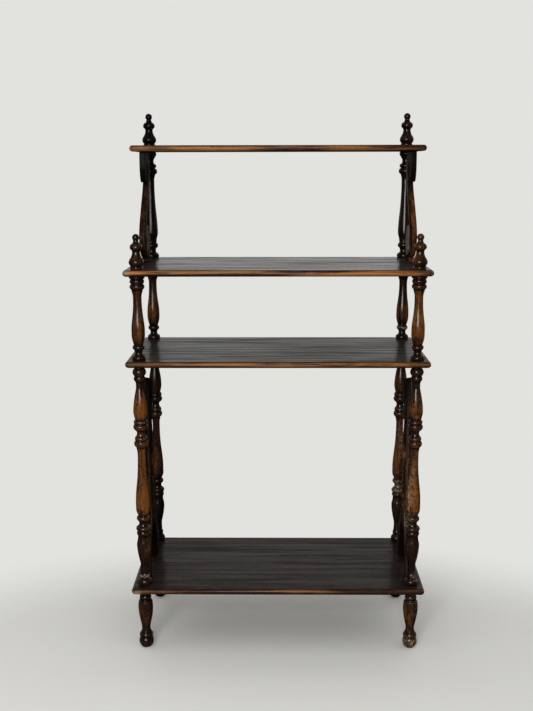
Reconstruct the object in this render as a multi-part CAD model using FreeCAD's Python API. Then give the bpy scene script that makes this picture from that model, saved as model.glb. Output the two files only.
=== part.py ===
"""A four-tier etagere (whatnot) in turned and sawn hardwood.

Four boards stand on four posts. Each post is a stack of turned pieces: the shoulder of one
sits on a board, and its round tenon passes down through the board into a socket in the piece
below. Two lyre frets stand at the sides of the lowest bay, and two S-scroll brackets carry the
front of the shallow top board.

Units are millimetres. +Z is up and the front faces -Y. The origin is on the floor, midway
between the left and right ends of the boards and between their front and back edges.
"""
import FreeCAD, Part
import math
import os

# ---------------------------------------------------------------- driving dimensions

# Posts, centre to centre.
POST_SPACING_X = 630.0
POST_SPACING_Y = 278.0

# Heights of the turned pieces between their shoulders.
LEG_HEIGHT = 145.0
LOWER_SPINDLE_HEIGHT = 528.0
MIDDLE_SPINDLE_HEIGHT = 191.0
UPPER_SPINDLE_HEIGHT = 258.0
FINIAL_HEIGHT = 78.0

# Boards.
BOARD_THICKNESS = 14.0
BOARD_SIDE_OVERHANG = 28.0
BOARD_FRONT_OVERHANG = 36.0
BOARD_BACK_OVERHANG = 18.0
TOP_BOARD_DEPTH = 175.0
BOARD_CORNER_RADIUS = 10.0
BOARD_NOSING = 6.8

# Round tenons and their sockets.
TENON_DIAMETER = 12.0
TENON_FIT = 0.1
TENON_REACH = 13.0
TENON_END_GAP = 1.0
TENON_CHAMFER = 1.0

# Sawn frets and brackets.
FRET_THICKNESS = 18.5
FRET_WIDTH = 188.0
FRET_HEADROOM = 66.0
FRET_POST_GAP = 0.4
BRACKET_THICKNESS = 12.5
BRACKET_DEPTH = 126.0
BRACKET_POST_GAP = 36.0

# Dowels that fix the frets and brackets.
DOWEL_DIAMETER = 5.0
DOWEL_FIT = 0.05
DOWEL_IN_BOARD = 7.0
DOWEL_IN_FRET = 9.0
PEG_IN_POST = 10.0

# Diameters that the turner's gauge sets, used by several turned pieces.
NECK = 18.2
SLIM_NECK = 17.0
SWELL = 32.4
LARGE_BEAD = 34.4
SMALL_BEAD = 30.6
RING = 35.8
CREASE = 24.0

# How much of its rise a curve stays upright for, at its thin end and at its thick end. A plain
# curve leaves the neck slowly, and a full one swells out at once.
HOLD_SHARES = {"curve": (0.58, 0.34), "full": (0.06, 0.42)}

# ---------------------------------------------------------------- sizes that follow

BOARD_WIDTH = POST_SPACING_X + 2 * BOARD_SIDE_OVERHANG
BOARD_DEPTH = POST_SPACING_Y + BOARD_FRONT_OVERHANG + BOARD_BACK_OVERHANG
BOARD_FRONT_Y = -BOARD_DEPTH / 2
BOARD_BACK_Y = BOARD_DEPTH / 2
FRONT_POST_Y = BOARD_FRONT_Y + BOARD_FRONT_OVERHANG
REAR_POST_Y = FRONT_POST_Y + POST_SPACING_Y
POST_X = POST_SPACING_X / 2

BOTTOM_TOP_Z = LEG_HEIGHT + BOARD_THICKNESS
THIRD_TOP_Z = BOTTOM_TOP_Z + LOWER_SPINDLE_HEIGHT + BOARD_THICKNESS
SECOND_TOP_Z = THIRD_TOP_Z + MIDDLE_SPINDLE_HEIGHT + BOARD_THICKNESS
TOP_TOP_Z = SECOND_TOP_Z + UPPER_SPINDLE_HEIGHT + BOARD_THICKNESS

TENON_LENGTH = BOARD_THICKNESS + TENON_REACH
SOCKET_DEPTH = TENON_REACH + TENON_END_GAP
BORE_DIAMETER = TENON_DIAMETER + 2 * TENON_FIT

SIDES = {"left": -1, "right": 1}
ROWS = {"front": FRONT_POST_Y, "rear": REAR_POST_Y}

# ---------------------------------------------------------------- turned profiles

# A profile is a list of members from the foot of a piece upwards. Each member is
# (form, rise, end diameter, bulge diameter). A rise of REST takes up the height that the
# other members leave, so that a longer piece gets a longer taper, as on the lathe.
REST = None

LEG = [
    ("start", 0.0, 20.0, 0),
    ("bead", 24.5, 27.6, LARGE_BEAD),
    ("bead", 13.0, CREASE, 32.4),
    ("curve", 9.5, 20.4, 0),
    ("line", 5.0, 20.4, 0),
    ("full", REST, 35.0, 0),
    ("full", 16.0, 32.8, 0),
    ("curve", 5.0, 25.0, 0),
    ("bead", 10.0, CREASE, 28.2),
    ("bead", 14.0, 28.0, 30.0),
]

LOWER_SPINDLE = [
    ("start", 0.0, 29.0, 0),
    ("bead", 16.0, 20.0, SWELL),
    ("bead", 12.0, 19.6, 23.4),
    ("curve", 14.5, NECK, 0),
    ("line", 8.0, NECK, 0),
    ("full", 48.0, 33.0, 0),
    ("curve", 23.0, 27.0, 0),
    ("bead", 12.0, 26.6, 31.8),
    ("bead", 12.0, 22.6, LARGE_BEAD),
    ("curve", 6.5, 19.6, 0),
    ("curve", 5.0, 22.0, 0),
    ("bead", 13.5, 22.4, SMALL_BEAD),
    ("full", 16.0, SWELL, 0),
    ("line", 14.5, SWELL, 0),
    ("curve", REST, NECK, 0),
    ("curve", 17.0, 22.4, 0),
    ("bead", 16.0, 26.0, 32.8),
    ("bead", 11.0, 21.0, 29.0),
    ("curve", 7.0, NECK, 0),
    ("curve", 5.5, 22.0, 0),
    ("bead", 16.0, 28.0, LARGE_BEAD),
    ("bead", 9.5, 25.4, SWELL),
    ("full", 20.0, SWELL, 0),
    ("full", 55.0, SLIM_NECK, 0),
    ("line", 8.5, SLIM_NECK, 0),
    ("curve", 6.0, 19.0, 0),
    ("bead", 13.0, 22.0, 26.2),
    ("bead", 19.0, 21.6, 30.8),
    ("line", 5.5, 22.6, 0),
]

MIDDLE_SPINDLE = [
    ("start", 0.0, 29.0, 0),
    ("bead", 10.5, 20.0, 31.8),
    ("curve", 5.5, SLIM_NECK, 0),
    ("curve", 5.5, 19.6, 0),
    ("bead", 12.0, 21.4, 27.6),
    ("full", 22.0, 30.4, 0),
    ("line", 10.0, 30.4, 0),
    ("curve", REST, 19.4, 0),
    ("curve", 18.5, 26.0, 0),
    ("bead", 12.0, 27.0, 33.8),
    ("bead", 11.5, 28.0, 32.8),
    ("bead", 8.0, 31.0, RING),
]

UPPER_SPINDLE = [
    ("start", 0.0, 32.0, 0),
    ("bead", 12.5, 22.2, RING),
    ("curve", 6.0, 20.4, 0),
    ("curve", 5.0, 22.6, 0),
    ("bead", 13.0, 24.8, 32.0),
    ("curve", 25.5, SWELL, 0),
    ("curve", REST, 20.4, 0),
    ("curve", 14.0, 25.0, 0),
    ("bead", 15.5, 24.6, RING),
    ("bead", 11.0, 21.0, 32.0),
    ("curve", 7.0, 19.6, 0),
    ("curve", 10.0, 28.0, 0),
    ("bead", 10.5, 31.0, 34.0),
]

FINIAL = [
    ("start", 0.0, 26.4, 0),
    ("bead", 6.0, 26.0, 29.0),
    ("full", 9.0, LARGE_BEAD, 0),
    ("curve", 24.0, 18.0, 0),
    ("curve", 3.0, 20.4, 0),
    ("bead", 15.0, 15.4, 28.6),
    ("curve", REST, 11.8, 0),
    ("curve", 1.6, 12.4, 0),
    ("knob", 13.2, 2.4, 16.4),
]


def at(radius, height):
    """A point of a profile, in the plane that is turned about Z."""
    return FreeCAD.Vector(radius, 0, height)


def line(start, end):
    return Part.LineSegment(start, end).toShape()


def bead_middle(rim, widest):
    """The middle of the arc from a bead's rim to its widest point, where it is upright."""
    step = widest.x - rim.x
    rise = widest.z - rim.z
    radius = (step ** 2 + rise ** 2) / (2 * step)
    half_turn = math.atan2(rise, radius - step) / 2
    return at(
        widest.x - radius * (1 - math.cos(half_turn)),
        widest.z - radius * math.sin(half_turn),
    )


def bead(start, end, bulge_radius):
    """Two arcs that meet at the widest point, which is nearer to the wider rim."""
    start_weight = math.sqrt(bulge_radius - start.x)
    end_weight = math.sqrt(bulge_radius - end.x)
    share = start_weight / (start_weight + end_weight)
    widest = at(bulge_radius, start.z + share * (end.z - start.z))
    return [
        Part.Arc(start, bead_middle(start, widest), widest).toShape(),
        Part.Arc(widest, bead_middle(end, widest), end).toShape(),
    ]


def upright_curve(start, end, holds):
    """A smooth curve that is upright at both ends; the first hold is that of its thin end."""
    rise = end.z - start.z
    start_hold, end_hold = holds if start.x < end.x else reversed(holds)
    curve = Part.BezierCurve()
    curve.setPoles([
        start,
        at(start.x, start.z + start_hold * rise),
        at(end.x, end.z - end_hold * rise),
        end,
    ])
    return curve.toShape()


def ball_knob(start, flat_rim, diameter):
    """The arc of a ball from start over its widest point to the small flat on its crown."""
    crown_drop = math.sqrt((diameter / 2) ** 2 - flat_rim.x ** 2)
    widest = at(diameter / 2, flat_rim.z - crown_drop)
    return Part.Arc(start, widest, flat_rim).toShape()


def profile_edges(members, height):
    """The outer edges of a turned piece from its shoulder to its top."""
    edges = []
    here = at(members[0][2] / 2, 0)
    rest = height - sum(rise for form, rise, end, bulge in members if rise is not REST)
    for form, rise, end_diameter, bulge in members[1:]:
        there = at(end_diameter / 2, here.z + (rest if rise is REST else rise))
        if form == "line":
            edges.append(line(here, there))
        elif form == "bead":
            edges += bead(here, there, bulge / 2)
        elif form in HOLD_SHARES:
            edges.append(upright_curve(here, there, HOLD_SHARES[form]))
        else:
            edges.append(ball_knob(here, there, bulge))
        here = there
    return edges, here


def turned(members, height, tenon, socket):
    """A solid of revolution, with a tenon below its shoulder or a socket in its top."""
    edges, top = profile_edges(members, height)
    foot = at(members[0][2] / 2, 0)
    if tenon:
        corners = [
            at(0, -TENON_LENGTH),
            at(TENON_DIAMETER / 2 - TENON_CHAMFER, -TENON_LENGTH),
            at(TENON_DIAMETER / 2, TENON_CHAMFER - TENON_LENGTH),
            at(TENON_DIAMETER / 2, 0),
            foot,
        ]
    else:
        corners = [at(0, 0), foot]
    below = [line(first, second) for first, second in zip(corners, corners[1:])]
    if socket:
        rim = [
            top,
            at(BORE_DIAMETER / 2, height),
            at(BORE_DIAMETER / 2, height - SOCKET_DEPTH),
            at(0, height - SOCKET_DEPTH),
        ]
    else:
        rim = [top, at(0, height)]
    above = [line(first, second) for first, second in zip(rim, rim[1:])]
    axis = line(rim[-1], corners[0])
    face = Part.Face(Part.Wire(below + edges + above + [axis]))
    return face.revolve(at(0, 0), FreeCAD.Vector(0, 0, 1), 360)


# ---------------------------------------------------------------- boards


def cylinder(diameter, length, centre_of_foot, direction):
    return Part.makeCylinder(diameter / 2, length, centre_of_foot, direction)


UP = FreeCAD.Vector(0, 0, 1)
BACK = FreeCAD.Vector(0, 1, 0)


def board(front_y, top_z, bore_rows):
    """A board with rounded corners and a rounded nosing all round, bored for the tenons."""
    depth = BOARD_BACK_Y - front_y
    corner = FreeCAD.Vector(-BOARD_WIDTH / 2, front_y, top_z - BOARD_THICKNESS)
    slab = Part.makeBox(BOARD_WIDTH, depth, BOARD_THICKNESS, corner)
    uprights = [edge for edge in slab.Edges if edge.BoundBox.ZLength > BOARD_THICKNESS / 2]
    slab = slab.makeFillet(BOARD_CORNER_RADIUS, uprights)
    flat_edges = [edge for edge in slab.Edges if edge.BoundBox.ZLength < BOARD_THICKNESS / 2]
    nosing = min(BOARD_NOSING, 0.49 * BOARD_THICKNESS)
    slab = slab.makeFillet(nosing, flat_edges)
    bores = [
        cylinder(BORE_DIAMETER, BOARD_THICKNESS, FreeCAD.Vector(side * POST_X, row, corner.z), UP)
        for side in SIDES.values() for row in bore_rows
    ]
    return slab.cut(bores)


# ---------------------------------------------------------------- sawn frets and brackets

# Lyre outline as shares of the half width and of the height. The side runs up the outside of
# an arm from the foot to the head, and the throat runs down its inside to the stem. Both arms
# have the same foot. Above it the rear arm is slimmer and straighter, and the head of the front
# one reaches the post. The heads climb towards the front: LYRE_CLIMB is the rise for each
# millimetre forward at the top of the lyre.
LYRE_FOOT_SHARES = [
    (0.90, 0.0), (0.975, 0.03), (0.965, 0.075), (0.89, 0.13), (0.76, 0.185), (0.52, 0.235),
    (0.36, 0.275),
]
LYRE_SIDE_SHARES = {
    "rear": LYRE_FOOT_SHARES + [
        (0.29, 0.32), (0.27, 0.37), (0.28, 0.415), (0.30, 0.46), (0.32, 0.50), (0.31, 0.535),
        (0.27, 0.557), (0.28, 0.577), (0.34, 0.60), (0.39, 0.637), (0.34, 0.69), (0.23, 0.74),
        (0.18, 0.79), (0.20, 0.835), (0.30, 0.87), (0.42, 0.893), (0.50, 0.92), (0.53, 0.955),
        (0.51, 0.985), (0.47, 1.0),
    ],
    "front": LYRE_FOOT_SHARES + [
        (0.33, 0.32), (0.42, 0.37), (0.56, 0.415), (0.68, 0.46), (0.73, 0.50), (0.69, 0.535),
        (0.55, 0.557), (0.545, 0.577), (0.68, 0.60), (0.73, 0.637), (0.65, 0.69), (0.54, 0.74),
        (0.475, 0.79), (0.485, 0.825), (0.47, 0.865), (0.54, 0.893), (0.70, 0.908),
        (0.88, 0.915), (0.975, 0.935), (0.985, 0.965), (0.93, 0.99), (0.84, 1.0),
    ],
}
LYRE_THROAT_SHARES = {
    "rear": [
        (0.13, 1.0), (0.10, 0.97), (0.12, 0.93), (0.11, 0.885), (0.05, 0.84), (0.03, 0.79),
        (0.04, 0.75), (0.08, 0.72), (0.14, 0.68), (0.18, 0.63), (0.17, 0.595), (0.12, 0.578),
        (0.10, 0.562), (0.12, 0.545), (0.16, 0.525), (0.16, 0.48), (0.13, 0.435), (0.09, 0.39),
        (0.05, 0.35), (0.0, 0.325),
    ],
    "front": [
        (0.13, 1.0), (0.10, 0.97), (0.13, 0.93), (0.17, 0.885), (0.16, 0.84), (0.12, 0.78),
        (0.19, 0.73), (0.29, 0.68), (0.36, 0.63), (0.36, 0.595), (0.26, 0.578), (0.22, 0.562),
        (0.26, 0.545), (0.34, 0.525), (0.35, 0.48), (0.30, 0.435), (0.22, 0.39), (0.12, 0.35),
        (0.0, 0.325),
    ],
}
LYRE_ARCH_SHARES = [
    (0.0, 0.225), (0.16, 0.222), (0.30, 0.205), (0.43, 0.16), (0.53, 0.10), (0.59, 0.05),
    (0.61, 0.0),
]
LYRE_FOOT_SHARE = 0.77
LYRE_PEG_SHARE = 0.945
LYRE_CLIMB = 0.245

# S-scroll outline as shares of the bracket's depth, from its belly backwards, and of the
# height of the bay that it stands in.
SCROLL_BELLY_SHARES = [
    (0.35, 0.05), (0.238, 0.062), (0.103, 0.109), (0.016, 0.174), (0.004, 0.24),
    (0.07, 0.333), (0.206, 0.422), (0.397, 0.531), (0.571, 0.62), (0.69, 0.70),
    (0.72, 0.76), (0.706, 0.83), (0.667, 0.885), (0.625, 0.905), (0.587, 0.885),
    (0.59, 0.82), (0.575, 0.765), (0.508, 0.728), (0.413, 0.738), (0.341, 0.785),
    (0.31, 0.86), (0.317, 0.95),
]
SCROLL_BACK_SHARES = [
    (0.968, 0.95), (1.0, 0.87), (0.975, 0.76), (0.889, 0.655), (0.714, 0.543),
    (0.556, 0.442), (0.40, 0.352), (0.29, 0.29), (0.25, 0.235), (0.28, 0.175),
    (0.36, 0.128), (0.452, 0.116), (0.53, 0.147), (0.51, 0.202), (0.445, 0.248),
    (0.46, 0.305), (0.571, 0.335), (0.73, 0.302), (0.833, 0.233), (0.85, 0.15),
    (0.79, 0.082), (0.667, 0.05),
]
SCROLL_HEAD_SHARES = (0.317, 0.968)
SCROLL_FOOT_SHARES = (0.35, 0.667)


def smooth_edge(points):
    """One smooth curve through the points."""
    curve = Part.BSplineCurve()
    curve.interpolate(Points=points)
    return curve.toShape()


def plate(edges, thickness, side):
    """A sawn plate, upright in the Y-Z plane and centred on the line of the posts."""
    outline = Part.Wire(Part.__sortEdges__(edges))
    blank = Part.Face(outline).extrude(FreeCAD.Vector(thickness, 0, 0))
    blank.translate(FreeCAD.Vector(side * POST_X - thickness / 2, 0, 0))
    return blank


FRET_HEIGHT = LOWER_SPINDLE_HEIGHT - FRET_HEADROOM
FRET_FRONT_Y = FRONT_POST_Y + LARGE_BEAD / 2 + FRET_POST_GAP
FRET_CENTRE_Y = FRET_FRONT_Y + FRET_WIDTH / 2
LYRE_ARMS = {"rear": 1, "front": -1}
REAR_HEAD_REACH_SHARE = LYRE_SIDE_SHARES["rear"][-3][0]


def lyre_point(share, hand):
    """A point of the lyre; hand is 1 for its rear half and -1 for its front half."""
    forward = (REAR_HEAD_REACH_SHARE - hand * share[0]) * FRET_WIDTH / 2
    return FreeCAD.Vector(
        0,
        FRET_CENTRE_Y + hand * share[0] * FRET_WIDTH / 2,
        BOTTOM_TOP_Z + share[1] * FRET_HEIGHT + LYRE_CLIMB * share[1] ** 4 * forward,
    )


def lyre_line(shares, hand):
    return smooth_edge([lyre_point(share, hand) for share in shares])


def lyre_fret(side):
    """The open lyre that stands on the bottom board between the posts of one side."""
    edges = []
    for arm, hand in LYRE_ARMS.items():
        outside = LYRE_SIDE_SHARES[arm]
        throat = LYRE_THROAT_SHARES[arm]
        edges += [
            lyre_line(LYRE_ARCH_SHARES, hand),
            line(lyre_point(LYRE_ARCH_SHARES[-1], hand), lyre_point(outside[0], hand)),
            lyre_line(outside, hand),
            line(lyre_point(outside[-1], hand), lyre_point(throat[0], hand)),
            lyre_line(throat, hand),
        ]
    return plate(edges, FRET_THICKNESS, side)


TOP_FRONT_Y = BOARD_BACK_Y - TOP_BOARD_DEPTH
BRACKET_REAR_Y = REAR_POST_Y - RING / 2 - BRACKET_POST_GAP
BRACKET_FRONT_Y = BRACKET_REAR_Y - BRACKET_DEPTH


def scroll_point(share):
    return FreeCAD.Vector(
        0,
        BRACKET_FRONT_Y + share[0] * BRACKET_DEPTH,
        SECOND_TOP_Z + share[1] * UPPER_SPINDLE_HEIGHT,
    )


def scroll_bracket(side):
    """The S-scroll that stands on the second board and carries the top board."""
    foot_front = scroll_point((SCROLL_FOOT_SHARES[0], 0))
    foot_back = scroll_point((SCROLL_FOOT_SHARES[1], 0))
    head_front = scroll_point((SCROLL_HEAD_SHARES[0], 1))
    head_back = scroll_point((SCROLL_HEAD_SHARES[1], 1))
    belly = [scroll_point(share) for share in SCROLL_BELLY_SHARES]
    back = [scroll_point(share) for share in SCROLL_BACK_SHARES]
    edges = [
        line(foot_front, belly[0]),
        smooth_edge(belly),
        line(belly[-1], head_front),
        line(head_front, head_back),
        line(head_back, back[0]),
        smooth_edge(back),
        line(back[-1], foot_back),
        line(foot_back, foot_front),
    ]
    return plate(edges, BRACKET_THICKNESS, side)


# ---------------------------------------------------------------- dowels


def dowel_places(side):
    """The lower end, direction and two depths of each dowel of one side, by group."""
    x = side * POST_X
    feet = [
        lyre_point((LYRE_FOOT_SHARE, 0), hand) + FreeCAD.Vector(x, 0, 0)
        for hand in LYRE_ARMS.values()
    ]
    head_edge = lyre_point((1.0, LYRE_PEG_SHARE), LYRE_ARMS["front"])
    peg_start = FreeCAD.Vector(x, FRONT_POST_Y - PEG_IN_POST / 2, head_edge.z)
    peg_length = head_edge.y - peg_start.y + DOWEL_IN_FRET
    foot_y = scroll_point((sum(SCROLL_FOOT_SHARES) / 2, 0)).y
    head_y = scroll_point((sum(SCROLL_HEAD_SHARES) / 2, 1)).y
    top_underside = TOP_TOP_Z - BOARD_THICKNESS
    board_to_fret = DOWEL_IN_BOARD + DOWEL_IN_FRET
    return {
        "fret": [
            (foot - UP * DOWEL_IN_BOARD, UP, board_to_fret) for foot in feet
        ] + [(peg_start, BACK, peg_length)],
        "bracket": [
            (FreeCAD.Vector(x, foot_y, SECOND_TOP_Z - DOWEL_IN_BOARD), UP, board_to_fret),
            (FreeCAD.Vector(x, head_y, top_underside - DOWEL_IN_FRET), UP, board_to_fret),
        ],
    }


def dowels(side, group):
    return [cylinder(DOWEL_DIAMETER, length, start, way)
            for start, way, length in dowel_places(side)[group]]


def dowel_holes(side, group):
    """Cutters a little wider and longer than the dowels that they make room for."""
    return [cylinder(DOWEL_DIAMETER + 2 * DOWEL_FIT, length + 2 * DOWEL_FIT,
                     start - way * DOWEL_FIT, way)
            for start, way, length in dowel_places(side)[group]]


# ---------------------------------------------------------------- assembly


def placed(shape, side, row_y, base_z):
    moved = shape.copy()
    moved.translate(FreeCAD.Vector(side * POST_X, row_y, base_z))
    return moved


def post_pieces():
    """Every turned piece by node name, standing where its post stacks it."""
    leg = turned(LEG, LEG_HEIGHT, tenon=False, socket=True)
    lower = turned(LOWER_SPINDLE, LOWER_SPINDLE_HEIGHT, tenon=True, socket=True)
    middle = turned(MIDDLE_SPINDLE, MIDDLE_SPINDLE_HEIGHT, tenon=True, socket=True)
    upper = turned(UPPER_SPINDLE, UPPER_SPINDLE_HEIGHT, tenon=True, socket=True)
    finial = turned(FINIAL, FINIAL_HEIGHT, tenon=True, socket=False)
    pieces = {}
    for side_name, side in SIDES.items():
        for row_name, row_y in ROWS.items():
            post = row_name + "_" + side_name
            finial_base = SECOND_TOP_Z if row_name == "front" else TOP_TOP_Z
            pieces[post + "_leg"] = placed(leg, side, row_y, 0)
            pieces[post + "_lower_spindle"] = placed(lower, side, row_y, BOTTOM_TOP_Z)
            pieces[post + "_middle_spindle"] = placed(middle, side, row_y, THIRD_TOP_Z)
            pieces[post + "_finial"] = placed(finial, side, row_y, finial_base)
            if row_name == "rear":
                pieces[post + "_upper_spindle"] = placed(upper, side, row_y, SECOND_TOP_Z)
    return pieces


def assembly():
    """All nodes, with the dowel holes cut through whatever each dowel enters."""
    both_rows = (FRONT_POST_Y, REAR_POST_Y)
    nodes = post_pieces()
    nodes["bottom_shelf"] = board(BOARD_FRONT_Y, BOTTOM_TOP_Z, both_rows)
    nodes["third_shelf"] = board(BOARD_FRONT_Y, THIRD_TOP_Z, both_rows)
    nodes["second_shelf"] = board(BOARD_FRONT_Y, SECOND_TOP_Z, both_rows)
    nodes["top_shelf"] = board(TOP_FRONT_Y, TOP_TOP_Z, (REAR_POST_Y,))
    for side_name, side in SIDES.items():
        nodes[side_name + "_lyre_fret"] = lyre_fret(side)
        nodes[side_name + "_scroll_bracket"] = scroll_bracket(side)
        entered = {
            "fret": ["bottom_shelf", "front_" + side_name + "_lower_spindle",
                     side_name + "_lyre_fret"],
            "bracket": ["second_shelf", "top_shelf", side_name + "_scroll_bracket"],
        }
        for group, names in entered.items():
            for name in names:
                nodes[name] = nodes[name].cut(dowel_holes(side, group))
            nodes[side_name + "_" + group + "_dowels"] = Part.Compound(dowels(side, group))
    return nodes


def save(nodes):
    os.makedirs("parts", exist_ok=True)
    for name, shape in sorted(nodes.items()):
        shape.exportStep("parts/" + name + ".step")
        box = shape.BoundBox
        print("%-28s solids %d  valid %s  %.1f x %.1f x %.1f" % (
            name, len(shape.Solids), shape.isValid(), box.XLength, box.YLength, box.ZLength))
    print("overall height %.1f" % (TOP_TOP_Z + FINIAL_HEIGHT))


save(assembly())
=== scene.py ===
# %% [markdown]
# # A four-tier etagere in turned and stained wood
#
# The stand is a kit: boards, turned posts, open lyre frets and scroll brackets, all stained
# nearly black and varnished, then rubbed warm again by a century of hands and dusters. The packed
# model gives every piece its size and place. This lesson gives the pieces their looks.

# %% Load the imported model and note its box
import math

import bpy
import numpy as np
from mathutils import Matrix, Vector


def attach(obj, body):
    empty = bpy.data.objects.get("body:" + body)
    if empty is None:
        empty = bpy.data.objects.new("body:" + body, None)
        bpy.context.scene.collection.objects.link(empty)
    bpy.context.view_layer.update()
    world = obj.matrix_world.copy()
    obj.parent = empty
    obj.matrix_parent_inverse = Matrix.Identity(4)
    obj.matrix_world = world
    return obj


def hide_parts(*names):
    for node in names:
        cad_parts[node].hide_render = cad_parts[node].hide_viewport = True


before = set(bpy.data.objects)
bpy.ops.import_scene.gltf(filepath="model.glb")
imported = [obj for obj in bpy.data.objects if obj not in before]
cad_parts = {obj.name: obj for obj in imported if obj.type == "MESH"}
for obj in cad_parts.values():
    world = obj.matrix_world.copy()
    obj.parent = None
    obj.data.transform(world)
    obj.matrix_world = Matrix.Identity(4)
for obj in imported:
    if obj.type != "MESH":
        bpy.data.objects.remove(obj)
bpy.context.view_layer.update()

scene = bpy.context.scene
print("nodes in the frame:", len(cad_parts))

# %% [markdown]
# ## Sizes
#
# A maker's drawing is in millimetres and Blender works in metres, so the sizes are written as on
# the drawing and turned into metres once, when a mesh is made. They also place every piece.

# %% Sizes in millimetres
MM = 0.001
POST_X = 315.0
ROW_Y = {"front": -130.0, "rear": 148.0}
SIDES = {"left": -1, "right": 1}
BOARD_THICKNESS = 14.0
HEIGHTS = {"leg": 145.0, "lower": 528.0, "middle": 191.0, "upper": 258.0, "finial": 78.0}

bottom_top = HEIGHTS["leg"] + BOARD_THICKNESS
third_top = bottom_top + HEIGHTS["lower"] + BOARD_THICKNESS
second_top = third_top + HEIGHTS["middle"] + BOARD_THICKNESS
top_top = second_top + HEIGHTS["upper"] + BOARD_THICKNESS
print("board tops at", bottom_top, third_top, second_top, top_top)

# %% [markdown]
# ## The camera
#
# A camera is a lens, a place and three directions. The lens is written in pixels, as a surveyor
# does, and turned into millimetres of focal length on a 36 mm sensor whose long side is the
# picture's height. The directions come from how far the camera is turned (yaw), how far it looks
# down (pitch) and how far it leans (roll), and become the columns of its rotation matrix. Blender
# keeps what a thing is, its data, apart from where it stands, its object, so a helper joins them.

# %% Camera
def in_scene(name, data):
    made = bpy.data.objects.new(name, data)
    scene.collection.objects.link(made)
    return made


PICTURE_HEIGHT = 711
LENS_PIXELS = 976.3
CAMERA_PLACE = Vector((-2.8, -2297.5, 1134.0)) * MM
yaw, pitch, roll = (math.radians(a) for a in (-0.608, 11.07, -0.122))

forward = Vector((math.sin(yaw) * math.cos(pitch), math.cos(yaw) * math.cos(pitch), -math.sin(pitch)))
level_right = forward.cross(Vector((0, 0, 1))).normalized()
level_up = level_right.cross(forward)
right = level_right * math.cos(roll) + level_up * math.sin(roll)
up = level_up * math.cos(roll) - level_right * math.sin(roll)

camera_data = bpy.data.cameras.new("viewpoint")
camera_data.sensor_width = 36.0
camera_data.lens = LENS_PIXELS * camera_data.sensor_width / PICTURE_HEIGHT
camera = in_scene("viewpoint", camera_data)
turn = Matrix((right, up, -forward)).transposed()
camera.matrix_world = Matrix.Translation(CAMERA_PLACE) @ turn.to_4x4()
scene.camera = camera
print("focal length %.2f mm" % camera_data.lens)

# %% [markdown]
# ## Surfaces from rings of points
#
# Every piece of the stand is a tube at heart: a ring of points is carried along the piece, its
# shape changing as it goes, and neighbouring rings are joined by four-sided faces. A turned
# spindle is a ring that widens and narrows, a board is a rectangle that slips round its nosing,
# and a sawn plate is one outline carried through the thickness of the wood. So one helper makes
# all the meshes. Beside the points it takes marks, which are numbers kept on each point, such as
# how much a place sticks out. The finishes read them later, to rub or darken those places.

# %% A mesh from rings
def ring_faces(ring_count, ring_size):
    """Face k of ring i joins points k and k + 1 of ring i with the same points of ring i + 1."""
    ring, place = np.meshgrid(np.arange(ring_count - 1), np.arange(ring_size), indexing="ij")
    after = (place + 1) % ring_size
    corners = [ring * ring_size + place, ring * ring_size + after,
               (ring + 1) * ring_size + after, (ring + 1) * ring_size + place]
    return np.stack(corners, axis=-1).reshape(-1, 4)


def inside_volume(rings, faces):
    """Six times the volume is the sum of the triple products of the corners of all triangles."""
    points = rings.reshape(-1, 3)
    corner = points[faces]
    halves = [(0, 1, 2), (0, 2, 3)]
    return sum(np.einsum("ij,ij->i", corner[:, a], np.cross(corner[:, b], corner[:, c])).sum()
               for a, b, c in halves) / 6


def add_mark(mesh, name, values):
    """One number for each point."""
    mesh.attributes.new(name, "FLOAT", "POINT").data.foreach_set("value", np.ravel(values).astype(np.float32))


def piece_from_rings(name, rings, marks):
    """rings has the shape (rings, points in a ring, 3), in mm. The end rings get flat caps."""
    ring_count, ring_size = rings.shape[:2]
    faces = ring_faces(ring_count, ring_size)
    first_cap = np.arange(ring_size)[::-1]
    last_cap = np.arange(ring_size) + (ring_count - 1) * ring_size
    mesh = bpy.data.meshes.new(name)
    mesh.from_pydata((rings.reshape(-1, 3) * MM).tolist(), [],
                     faces.tolist() + [first_cap.tolist(), last_cap.tolist()])
    smooth = np.ones(len(mesh.polygons), dtype=bool)
    smooth[-2:] = False
    mesh.polygons.foreach_set("use_smooth", smooth)
    for mark, values in marks.items():
        add_mark(mesh, mark, np.broadcast_to(values, rings.shape[:2]))
    if inside_volume(rings, faces) < 0:
        mesh.flip_normals()
    return in_scene(name, mesh)

# %% [markdown]
# ## What the turner cut
#
# A turner works from a stick with marks on it: here a bead so high, there a hollow down to the
# gauge, then a long swell. The same list is the best description in code. Each member is its
# form, its rise along the axis, the diameter at its end and, for a bead or a knob, the diameter of
# its bulge. One member of each piece takes up the height that the others leave.

# %% Members of the turned pieces, in millimetres
REST = None
NECK, SLIM_NECK, SWELL, LARGE_BEAD, SMALL_BEAD, RING, CREASE = 18.2, 17.0, 32.4, 34.4, 30.6, 35.8, 24.0
HOLDS = {"curve": (0.58, 0.34), "full": (0.06, 0.42)}

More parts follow.
